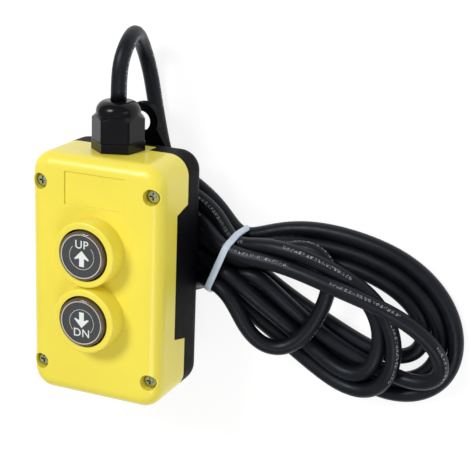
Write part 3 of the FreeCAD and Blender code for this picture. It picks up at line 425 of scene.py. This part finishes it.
hank = hank_points()
cord_line = nurbs_line("cord_route", np.vstack([LEAD, row(hank), FAR_END]), 3)
cable = tube_piece("cable", cord_line, CORD_RADIUS * MM)
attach(cable, HOUSING)
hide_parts("cable_lead", "cable_hank", "cable_end")


# ---- pieces on the cord ----

def taut_outline(centres, grow):
    """Outline of a band pulled tight round circles with these centres."""
    outline = []
    for turn in np.linspace(0, 2 * math.pi, 240, endpoint=False):
        way = np.array([math.cos(turn), math.sin(turn)])
        outline.append(centres[np.argmax(centres @ way)] + way * (CORD_RADIUS + grow))
    outline = np.array(outline + [outline[0]])
    along = distances(outline)
    places = np.linspace(0, along[-1], 181)[:-1]
    return np.column_stack([np.interp(places, along, outline[:, k]) for k in range(2)])


def neck_crossings():
    """Where the strands pass the middle of the tie, as places across it and heights."""
    plan = hank[:, :2] - TIE_CENTRE
    along = plan @ ALONG
    across = plan @ ACROSS
    found = []
    for i in range(len(hank) - 1):
        if along[i] * along[i + 1] <= 0 and abs(across[i]) < NECK_HALF + 2:
            found.append((across[i], hank[i, 2]))
    return np.array(found)


TIE_WIDTH = 3.6
TIE_THICK = 1.2


def tie_strap():
    """The flat strap, with rounded edges, pulled tight round the strands."""
    section = [
        (-0.5, -0.32), (-0.42, -0.5), (0.42, -0.5), (0.5, -0.32),
        (0.5, 0.32), (0.42, 0.5), (-0.42, 0.5), (-0.5, 0.32),
    ]
    rings = [
        (taut_outline(neck_crossings(), (0.5 + up) * TIE_THICK), side * TIE_WIDTH)
        for side, up in section
    ]
    count = len(rings[0][0])
    verts = []
    for outline, offset in rings:
        for across, height in outline:
            plan = TIE_CENTRE + offset * ALONG + across * ACROSS
            verts.append((plan[0], plan[1], height))
    sides = len(section)
    return mesh_piece("tie_strap", row(verts), grid_faces(sides, count, sides))


def tie_head():
    """The tie's square lock, low on the side towards the foot, with the cut end of the strap."""
    shell = bmesh.new()
    side = neck_crossings()[:, 0].min() - CORD_RADIUS - TIE_THICK
    for centre, extent, rounding in (
        ((0.0, side - 2.2, -10.6), (6.2, 4.4, 6.4), 0.8),
        ((0.0, side - 0.9, -15.0), (4.8, 1.7, 2.4), 0.5),
        ((0.0, side - 2.6, -5.9), (TIE_WIDTH, TIE_THICK, 3.4), 0.3),
    ):
        made = bmesh.ops.create_cube(shell, size=1.0)["verts"]
        for vert in made:
            along, across, height = (c * e + m for c, e, m in zip(vert.co, extent, centre))
            plan = TIE_CENTRE + along * ALONG + across * ACROSS
            vert.co = row([plan[0], plan[1], height])
        edges = {edge for vert in made for edge in vert.link_edges}
        bmesh.ops.bevel(shell, geom=list(edges), offset=rounding * MM, segments=3, affect="EDGES")
    mesh = bpy.data.meshes.new("tie_head")
    shell.to_mesh(mesh)
    shell.free()
    mesh.shade_smooth()
    mesh.set_sharp_from_angle(angle=math.radians(40))
    return link(bpy.data.objects.new("tie_head", mesh))


tie = tie_strap()
lock = tie_head()
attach(lock, HOUSING)
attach(tie, HOUSING)
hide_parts("cable_tie")


# ---- buttons: printed legends and clear lenses ----

BUTTONS = {
    "up": {"height": 17.525, "word": "UP", "pointing": 1},
    "down": {"height": -17.525, "word": "DN", "pointing": -1},
}
DISC_TOP = 67.3
PRINT = 0.06


def flat_print(name, outline, height):
    """A thin closed plate of print, its outline in millimetres about the disc's centre."""
    bottom = [(x, y + height, DISC_TOP) for x, y in outline]
    top = [(x, y + height, DISC_TOP + PRINT) for x, y in outline]
    count = len(outline)
    faces = [tuple(reversed(range(count))), tuple(range(count, 2 * count))]
    faces += [(i, (i + 1) % count, count + (i + 1) % count, count + i) for i in range(count)]
    return mesh_piece(name, row(bottom + top), faces, smooth=False)


def arrow_outline(pointing):
    """Half of an arrow about its own middle, mirrored, pointing up or down."""
    half = [(0, 4.2), (4.15, -0.15), (3.7, -0.75), (1.38, 0.2), (1.38, -4.15)]
    whole = half + [(-x, y) for x, y in reversed(half[1:])]
    outline = [(x, (y - 1.3) * pointing) for x, y in whole]
    return outline if pointing < 0 else list(reversed(outline))


def ring_outline(pointing):
    """A thin ring line, open where the word stands."""
    start = math.radians(90 * pointing + 48)
    turns = [start + math.radians(264) * i / 72 for i in range(73)]
    outer = [(6.95 * math.cos(t), 6.95 * math.sin(t)) for t in turns]
    inner = [(6.72 * math.cos(t), 6.72 * math.sin(t)) for t in reversed(turns)]
    return outer + inner


def word_piece(name, word, height, pointing):
    """The button's word as raised print, above or below its arrow."""
    curve = bpy.data.curves.new(name, "FONT")
    curve.body = word
    curve.size = 6.0 * MM
    curve.align_x = "CENTER"
    curve.align_y = "CENTER"
    curve.space_character = 1.08
    curve.extrude = PRINT / 2 * MM
    curve.offset = 0.06 * MM
    holder = link(bpy.data.objects.new(name + "_text", curve))
    mesh = bpy.data.meshes.new_from_object(holder)
    bpy.data.objects.remove(holder)
    bpy.data.curves.remove(curve)
    place = row([0, height + 5.75 * pointing, DISC_TOP + PRINT / 2])
    for vert in mesh.vertices:
        vert.co = Vector((vert.co.x * 1.02 + place[0], vert.co.y + place[1], vert.co.z + place[2]))
    shell = bmesh.new()
    shell.from_mesh(mesh)
    bmesh.ops.remove_doubles(shell, verts=shell.verts, dist=1e-6)
    shell.to_mesh(mesh)
    shell.free()
    mesh.name = name
    return link(bpy.data.objects.new(name, mesh))


# Cross-section of the lens, each point with the zone of the surface that follows it:
# 0 clear window and inside, 1 dark shoulder, 2 inner edge of the rim, frosted pale as a painted
# highlight.
LENS_SECTION = [
    (12.70, 66.60, 1), (12.64, 67.00, 1), (12.45, 67.38, 1), (12.15, 67.68, 1), (11.80, 67.86, 1),
    (11.48, 67.96, 2), (11.20, 68.00, 2), (11.00, 67.95, 2), (10.88, 67.84, 0), (10.80, 67.76, 0),
    (5.0, 67.76, 0), (0.02, 67.76, 0), (0.02, 67.42, 0), (5.0, 67.42, 0), (11.1, 67.42, 0),
    (11.5, 67.1, 0), (11.5, 57.1, 1), (12.55, 57.1, 1), (12.7, 57.25, 1),
]


def make_button(name, height, word, pointing):
    """The print on a button's disc, and the clear lens over it."""
    body = f"{name}_button"
    marks = [
        flat_print(f"{name}_arrow", arrow_outline(pointing), height),
        flat_print(f"{name}_ring_line", ring_outline(pointing), height),
        word_piece(f"{name}_word", word, height, pointing),
    ]
    for mark in marks:
        mark.data.materials.append(PRINT_WHITE)
        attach(mark, body)
    section = [(radius, level) for radius, level, _ in LENS_SECTION]
    zones = [zone for _, _, zone in LENS_SECTION]
    lens = lathe_piece(f"{name}_clear_lens", section, (0, height, 0), zones)
    for material in (LENS_CLEAR, LENS_SHOULDER, LENS_EDGE_HIGHLIGHT):
        lens.data.materials.append(material)
    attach(lens, body)
    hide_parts(f"{name}_lens")


# ---- the return springs ----

SPRING_TURNS = 5
SPRING_STEPS = 72
# Half the wire's thickness, and the same a hair thinner for the mesh, both in metres.
SPRING_WIRE = 0.00045
COIL_WIRE = SPRING_WIRE * 0.98


def make_spring(name):
    """A round-wire spring in the place of its CAD solid."""
    low, high = (np.array(corner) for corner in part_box(f"{name}_return_spring"))
    middle = (low + high) / 2
    radius = (high[1] - low[1]) / 2 - SPRING_WIRE
    along = np.linspace(0, 1, SPRING_STEPS * SPRING_TURNS + 1)
    angle = along * 2 * math.pi * SPRING_TURNS
    rise = high[2] - low[2] - 2 * SPRING_WIRE
    line = np.stack([middle[0] + radius * np.cos(angle), middle[1] + radius * np.sin(angle),
                     low[2] + SPRING_WIRE + along * rise], axis=1)
    spring = tube_piece(f"{name}_coil", line, COIL_WIRE, around=12)
    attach(spring, HOUSING)
    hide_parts(f"{name}_return_spring")
    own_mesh(spring)
    return spring


# ---- materials ----

def shader(name):
    """A new material, with its node tree and its surface node."""
    material = bpy.data.materials.new(name)
    material.use_nodes = True
    tree = material.node_tree
    return material, tree, tree.nodes["Principled BSDF"]


def add(tree, kind, inputs=None, **settings):
    """A new shader node, its inputs set to values or joined to other nodes."""
    node = tree.nodes.new(kind)
    for key, value in settings.items():
        setattr(node, key, value)
    for key, value in (inputs or {}).items():
        if isinstance(value, bpy.types.NodeSocket):
            tree.links.new(value, node.inputs[key])
        else:
            node.inputs[key].default_value = value
    return node


def place_of(tree):
    return tree.nodes.get("place") or add(tree, "ShaderNodeTexCoord", name="place")


def noise(tree, scale, detail=2.0, place=None, roughness=0.5):
    vector = place or place_of(tree).outputs["Object"]
    return add(tree, "ShaderNodeTexNoise", {
        "Vector": vector, "Scale": scale, "Detail": detail, "Roughness": roughness,
    }).outputs["Fac"]


def remap(tree, value, low, high, to_low, to_high):
    return add(tree, "ShaderNodeMapRange", {
        "Value": value, "From Min": low, "From Max": high, "To Min": to_low, "To Max": to_high,
    }).outputs["Result"]


def blend(tree, factor, first, second):
    node = add(tree, "ShaderNodeMix", data_type="RGBA")
    for key, value in ((0, factor), (6, first), (7, second)):
        if isinstance(value, bpy.types.NodeSocket):
            tree.links.new(value, node.inputs[key])
        else:
            node.inputs[key].default_value = value
    return node.outputs[2]


def maths(tree, operation, first, second=0.0):
    return add(tree, "ShaderNodeMath", {0: first, 1: second}, operation=operation).outputs[0]


def shade_of(colour, amount):
    return (*(min(1.0, c * amount) for c in colour), 1)


def edge_mask(tree, radius, sharp=0.12):
    """Near 1 on outer edges, from how far the normal turns within the radius."""
    rounded = add(tree, "ShaderNodeBevel", {"Radius": radius}, samples=4).outputs["Normal"]
    normal = add(tree, "ShaderNodeNewGeometry").outputs["Normal"]
    aligned = add(tree, "ShaderNodeVectorMath", {0: rounded, 1: normal}, operation="DOT_PRODUCT")
    return remap(tree, aligned.outputs["Value"], 1.0, 1.0 - sharp, 0.0, 1.0)


def painted_crevice_shade(tree, reach, colour):
    """Paint shade into a colour where surfaces close in within the reach."""
    open_share = add(tree, "ShaderNodeAmbientOcclusion", {"Distance": reach}, samples=6).outputs["AO"]
    # Painted shade: ambient occlusion blends the colour toward this near-black in recesses.
    shade_share = remap(tree, open_share, 0.25, 0.85, 0.8, 0.0)
    return blend(tree, shade_share, colour, (0.012, 0.011, 0.009, 1))


def bump(tree, height, depth, strength=1.0, normal=None):
    inputs = {"Height": height, "Distance": depth, "Strength": strength}
    if normal is not None:
        inputs["Normal"] = normal
    return add(tree, "ShaderNodeBump", inputs).outputs["Normal"]


def moulded(name, colour, roughness, grain, grain_depth, specular=0.5, coat=0.0, edge_wear_and_highlight=0.0):
    """Moulded plastic: slow tone changes, fine surface grain, soft flow ripples, edges lightened as
    rubbed wear and painted highlight.
    """
    material, tree, surface = shader(name)
    tone = remap(tree, noise(tree, 22.0, 3.0), 0.3, 0.7, 0.0, 1.0)
    base = blend(tree, tone, shade_of(colour, 0.955), shade_of(colour, 1.03))
    smears = noise(tree, 140.0, 4.0, roughness=0.65)
    rough = remap(tree, smears, 0.3, 0.7, roughness - 0.05, roughness + 0.06)
    if edge_wear_and_highlight:
        # Lighter edges: part rubbed wear, part painted highlight along the rounded edges.
        rubbed_and_highlit = maths(tree, "MULTIPLY", edge_mask(tree, 0.0006), noise(tree, 420.0, 3.0))
        rubbed_and_highlit = maths(tree, "MULTIPLY", rubbed_and_highlit, edge_wear_and_highlight)
        base = blend(tree, rubbed_and_highlit, base, (*(min(1.0, 0.12 + c * 1.1) for c in colour), 1))
        rough = maths(tree, "ADD", rough, maths(tree, "MULTIPLY", rubbed_and_highlit, 0.25))
    rounded = add(tree, "ShaderNodeBevel", {"Radius": 0.00035}, samples=4).outputs["Normal"]
    ripples = bump(tree, noise(tree, 55.0, 1.0), 0.0004, 0.25, rounded)
    normal = bump(tree, noise(tree, grain, 3.0), grain_depth, 1.0, ripples)
    tree.links.new(base, surface.inputs["Base Color"])
    tree.links.new(rough, surface.inputs["Roughness"])
    tree.links.new(normal, surface.inputs["Normal"])
    surface.inputs["Specular IOR Level"].default_value = specular
    surface.inputs["Coat Weight"].default_value = coat
    surface.inputs["Coat Roughness"].default_value = 0.12
    return material


def plated(name, colour, roughness, brushed=900.0, dull=0.25):
    """Bright metal with fine brushing, cloudy plating, duller patches and painted shade in its
    crevices.
    """
    material, tree, surface = shader(name)
    stretched = add(tree, "ShaderNodeMapping", {
        "Vector": place_of(tree).outputs["Object"], "Scale": (1.0, 7.0, 1.0),
    }).outputs["Vector"]
    lines = noise(tree, brushed, 2.0, stretched)
    cloud = remap(tree, noise(tree, 260.0, 4.0), 0.35, 0.65, 0.0, 1.0)
    base = blend(tree, cloud, shade_of(colour, 0.82), shade_of(colour, 1.05))
    rough = maths(tree, "ADD", maths(tree, "MULTIPLY", cloud, dull * 0.5), roughness)
    # Painted shade: the colour darkens in crevices and recesses, from ambient occlusion.
    tree.links.new(painted_crevice_shade(tree, 0.0012, base), surface.inputs["Base Color"])
    tree.links.new(rough, surface.inputs["Roughness"])
    tree.links.new(bump(tree, lines, 0.00001, 0.6), surface.inputs["Normal"])
    surface.inputs["Metallic"].default_value = 1.0
    return material


def jacket(name):
    """Black cable jacket: satin skin with faint ripples, chalky scuffs and a line of small print."""
    material, tree, surface = shader(name)
    skin = add(tree, "ShaderNodeAttribute", attribute_name="skin").outputs["Vector"]
    parts = add(tree, "ShaderNodeSeparateXYZ", {"Vector": skin})
    along, facing, beside = (parts.outputs[key] for key in "XYZ")
    cell = add(tree, "ShaderNodeCombineXYZ", {
        "X": maths(tree, "FLOOR", maths(tree, "MULTIPLY", along, 1 / 0.00042)),
        "Y": maths(tree, "FLOOR", maths(tree, "MULTIPLY", beside, 11.0)),
    }).outputs["Vector"]
    speck = add(tree, "ShaderNodeTexWhiteNoise", {"Vector": cell}).outputs["Value"]
    slots = maths(tree, "FRACT", maths(tree, "MULTIPLY", along, 1 / 0.0021))
    words = maths(tree, "FRACT", maths(tree, "MULTIPLY", along, 1 / 0.061))
    marks = [
        maths(tree, "GREATER_THAN", speck, 0.42),
        maths(tree, "GREATER_THAN", facing, 0.0),
        maths(tree, "LESS_THAN", maths(tree, "ABSOLUTE", beside), 0.19),
        maths(tree, "LESS_THAN", slots, 0.74),
        maths(tree, "LESS_THAN", words, 0.62),
    ]
    ink = marks[0]
    for mark in marks[1:]:
        ink = maths(tree, "MULTIPLY", ink, mark)
    worn = remap(tree, noise(tree, 700.0, 2.0), 0.35, 0.6, 0.15, 0.75)
    ink = maths(tree, "MULTIPLY", ink, worn)
    tone = remap(tree, noise(tree, 45.0, 3.0), 0.3, 0.7, 0.0, 1.0)
    rubber = blend(tree, tone, (0.004, 0.004, 0.0055, 1), (0.008, 0.009, 0.013, 1))
    scuffs = remap(tree, noise(tree, 330.0, 6.0, roughness=0.7), 0.62, 0.78, 0.0, 0.12)
    rubber = blend(tree, scuffs, rubber, (0.09, 0.09, 0.095, 1))
    tree.links.new(blend(tree, ink, rubber, (0.40, 0.41, 0.43, 1)), surface.inputs["Base Color"])
    rough = remap(tree, noise(tree, 180.0, 3.0), 0.3, 0.7, 0.36, 0.47)
    tree.links.new(maths(tree, "ADD", rough, maths(tree, "MULTIPLY", scuffs, 0.6)),
                   surface.inputs["Roughness"])
    ripples = bump(tree, noise(tree, 120.0, 2.0), 0.0005, 0.22)
    normal = bump(tree, noise(tree, 2600.0, 2.0), 0.00003, 0.6, ripples)
    tree.links.new(normal, surface.inputs["Normal"])
    surface.inputs["Specular IOR Level"].default_value = 0.26
    surface.inputs["Specular Tint"].default_value = (0.80, 0.90, 1.0, 1)
    return material


def clear_plastic(name, tint, clarity, haze_colour, scratched=0.05):
    """Polished clear plastic: light passes straight through, with surface reflections."""
    material, tree, surface = shader(name)
    tree.nodes.remove(surface)
    through = add(tree, "ShaderNodeBsdfTransparent", {"Color": (*tint, 1)})
    scratches = remap(tree, noise(tree, 900.0, 5.0, roughness=0.7), 0.4, 0.8, 0.02, scratched)
    gloss = add(tree, "ShaderNodeBsdfGlossy", {"Color": (1, 1, 1, 1), "Roughness": scratches})
    haze = add(tree, "ShaderNodeBsdfDiffuse", {"Color": (*haze_colour, 1)})
    back = add(tree, "ShaderNodeNewGeometry").outputs["Backfacing"]
    weight = maths(tree, "MULTIPLY", maths(tree, "SUBTRACT", 1.0, back),
                   add(tree, "ShaderNodeFresnel", {"IOR": 1.42}).outputs["Fac"])
    body = add(tree, "ShaderNodeMixShader", {0: 1 - clarity})
    tree.links.new(through.outputs[0], body.inputs[1])
    tree.links.new(haze.outputs[0], body.inputs[2])
    mix = add(tree, "ShaderNodeMixShader", {0: weight})
    tree.links.new(body.outputs[0], mix.inputs[1])
    tree.links.new(gloss.outputs[0], mix.inputs[2])
    tree.links.new(mix.outputs[0], tree.nodes["Material Output"].inputs["Surface"])
    return material


def frosted(name, colour, depth=0.0004):
    """Natural nylon: milky, slightly translucent, with a fine lengthwise grain."""
    material, tree, surface = shader(name)
    tone = remap(tree, noise(tree, 160.0, 3.0), 0.3, 0.7, 0.0, 1.0)
    base = blend(tree, tone, shade_of(colour, 0.9), shade_of(colour, 1.06))
    tree.links.new(base, surface.inputs["Base Color"])
    surface.inputs["Roughness"].default_value = 0.26
    surface.inputs["Subsurface Weight"].default_value = 0.35
    surface.inputs["Subsurface Radius"].default_value = (0.0012, 0.0013, 0.0015)
    surface.inputs["Subsurface Scale"].default_value = 1.0
    tree.links.new(bump(tree, noise(tree, 1300.0, 2.0), depth, 0.12), surface.inputs["Normal"])
    return material


PRINT_WHITE = moulded("print_white", (0.93, 0.98, 1.0), 0.5, 3000.0, 0.00001)
LENS_CLEAR = clear_plastic("lens_clear", (0.97, 0.97, 0.96), 0.985, (0.7, 0.7, 0.68))
LENS_SHOULDER = clear_plastic("lens_shoulder", (0.55, 0.42, 0.30), 0.55, (0.24, 0.18, 0.11), 0.25)
# The rim's inner edge is frosted pale: a painted highlight.
LENS_EDGE_HIGHLIGHT = clear_plastic("lens_edge_painted_highlight", (0.85, 0.82, 0.76), 0.3, (0.78, 0.72, 0.66), 0.3)
CABLE_JACKET = jacket("cable_jacket")
FINISHES = {
    "cover_yellow": moulded("cover_yellow", (0.92, 0.780, 0.078), 0.34, 1500.0, 0.00002,
                            coat=0.15, edge_wear_and_highlight=0.5),
    "casing_black": moulded("casing_black", (0.0032, 0.0032, 0.0050), 0.50, 1100.0, 0.00007,
                            specular=0.045, edge_wear_and_highlight=0.03),
    "seal_rubber": moulded("seal_rubber", (0.016, 0.016, 0.018), 0.7, 900.0, 0.00004, specular=0.3),
    "zinc_steel": plated("zinc_steel", (0.60, 0.64, 0.42), 0.26),
    "plate_steel": plated("plate_steel", (0.62, 0.63, 0.65), 0.34, 500.0),
    "legend_grey": moulded("legend_grey", (0.032, 0.034, 0.040), 0.42, 1800.0, 0.00001),
    "plunger_dark": moulded("plunger_dark", (0.070, 0.036, 0.024), 0.25, 1200.0, 0.00002, coat=0.5),
    "spring_steel": plated("spring_steel", (0.60, 0.60, 0.60), 0.22, 2000.0),
    "block_plastic": moulded("block_plastic", (0.70, 0.67, 0.60), 0.48, 900.0, 0.00004),
    "contact_brass": plated("contact_brass", (0.80, 0.58, 0.24), 0.26, 1200.0),
    "gland_nylon": moulded("gland_nylon", (0.003, 0.003, 0.005), 0.22, 900.0, 0.00002,
                           specular=0.11, coat=0.2, edge_wear_and_highlight=0.06),
    "lens_clear": LENS_CLEAR,
    "cable_jacket": CABLE_JACKET,
    "core_white": moulded("core_white", (0.80, 0.80, 0.77), 0.35, 1500.0, 0.00002),
    "core_black": moulded("core_black", (0.015, 0.015, 0.016), 0.35, 1500.0, 0.00002),
    "core_red": moulded("core_red", (0.55, 0.018, 0.012), 0.35, 1500.0, 0.00002),
    "core_green": moulded("core_green", (0.010, 0.23, 0.055), 0.35, 1500.0, 0.00002),
    "tie_nylon": frosted("tie_nylon", (0.64, 0.74, 0.88)),
    "ring_tin": plated("ring_tin", (0.72, 0.71, 0.68), 0.28, 700.0),
}


def core_colours(name):
    """The four cores at the far end, told apart by how far each lies across the fan of them."""
    material, tree, surface = shader(name)
    parts = add(tree, "ShaderNodeSeparateXYZ", {"Vector": place_of(tree).outputs["Object"]})
    gone = maths(tree, "MAXIMUM", maths(tree, "SUBTRACT", -0.12835, parts.outputs["Y"]), 0.0)
    pitch = maths(tree, "ADD", maths(tree, "MULTIPLY", maths(tree, "POWER", gone, 2.0), 12.2), 0.0023)
    across = maths(tree, "DIVIDE", maths(tree, "ADD", parts.outputs["X"], 0.0430), pitch)
    colour = (0.80, 0.80, 0.77, 1)
    for edge, following in ((-1, (0.015, 0.015, 0.016, 1)), (0, (0.55, 0.018, 0.012, 1)),
                            (1, (0.010, 0.23, 0.055, 1))):
        colour = blend(tree, maths(tree, "GREATER_THAN", across, float(edge)), colour, following)
    tree.links.new(colour, surface.inputs["Base Color"])
    rough = remap(tree, noise(tree, 700.0, 3.0), 0.3, 0.7, 0.30, 0.42)
    tree.links.new(rough, surface.inputs["Roughness"])
    tree.links.new(bump(tree, noise(tree, 1500.0, 3.0), 0.00002), surface.inputs["Normal"])
    return material


def dress(obj, material):
    """Put one material in every slot of an object, without touching its mesh."""
    if not obj.material_slots:
        obj.data.materials.append(material)
    for place in obj.material_slots:
        place.material = material


for part in frame["record"]["subparts"]:
    dress(nodes[part["node"]], FINISHES[part["material_slot"]])
dress(nodes["end_leads"], core_colours("core_colours"))
dress(cable, CABLE_JACKET)
for nylon in (tie, lock):
    dress(nylon, FINISHES["tie_nylon"])
for button, facts in BUTTONS.items():
    make_button(button, **facts)
    dress(make_spring(button), FINISHES["spring_steel"])


# ---- floor and light ----

def make_floor():
    size = 6.0
    low = cad_box[0][2]
    corners = [(-size, -size, low), (size, -size, low), (size, size, low), (-size, size, low)]
    floor = mesh_piece("floor", corners, [(0, 1, 2, 3)], smooth=False)
    material, tree, surface = shader("floor")
    tone = remap(tree, noise(tree, 3.0, 2.0), 0.3, 0.7, 0.0, 1.0)
    tree.links.new(blend(tree, tone, (0.19, 0.19, 0.19, 1), (0.21, 0.21, 0.21, 1)),
                   surface.inputs["Base Color"])
    surface.inputs["Emission Color"].default_value = (1.0, 1.0, 1.0, 1)
    surface.inputs["Emission Strength"].default_value = 0.86
    surface.inputs["Roughness"].default_value = 0.9
    surface.inputs["Specular IOR Level"].default_value = 0.1
    floor.data.materials.append(material)


def make_light(name, place, size, power, aim=(0.03, -0.07, 0.02)):
    data = bpy.data.lights.new(name, "AREA")
    data.shape = "RECTANGLE"
    data.size, data.size_y = size
    data.energy = power
    light = link(bpy.data.objects.new(name, data))
    light.location = place
    way = Vector(aim) - Vector(place)
    light.rotation_euler = way.to_track_quat("-Z", "Y").to_euler()


def make_world():
    """A soft studio dome, bright overhead and dimmer towards the horizon."""
    world = bpy.data.worlds.new("world")
    world.use_nodes = True
    tree = world.node_tree
    up = add(tree, "ShaderNodeSeparateXYZ", {
        "Vector": add(tree, "ShaderNodeTexCoord").outputs["Generated"],
    }).outputs["Z"]
    glow = remap(tree, up, 0.0, 0.8, 0.24, 0.46)
    backdrop = tree.nodes["Background"]
    backdrop.inputs["Color"].default_value = (1.0, 1.0, 1.0, 1)
    tree.links.new(glow, backdrop.inputs["Strength"])
    bpy.context.scene.world = world


make_floor()
make_light("key", (-0.35, 0.55, 0.95), (0.45, 0.3), 7.7)
make_light("front", (0.42, -0.55, 0.95), (0.45, 0.45), 2.4)
make_light("side", (1.0, 0.25, 0.45), (0.35, 0.5), 0.9)
make_world()
bpy.context.scene.view_settings.view_transform = "Standard"
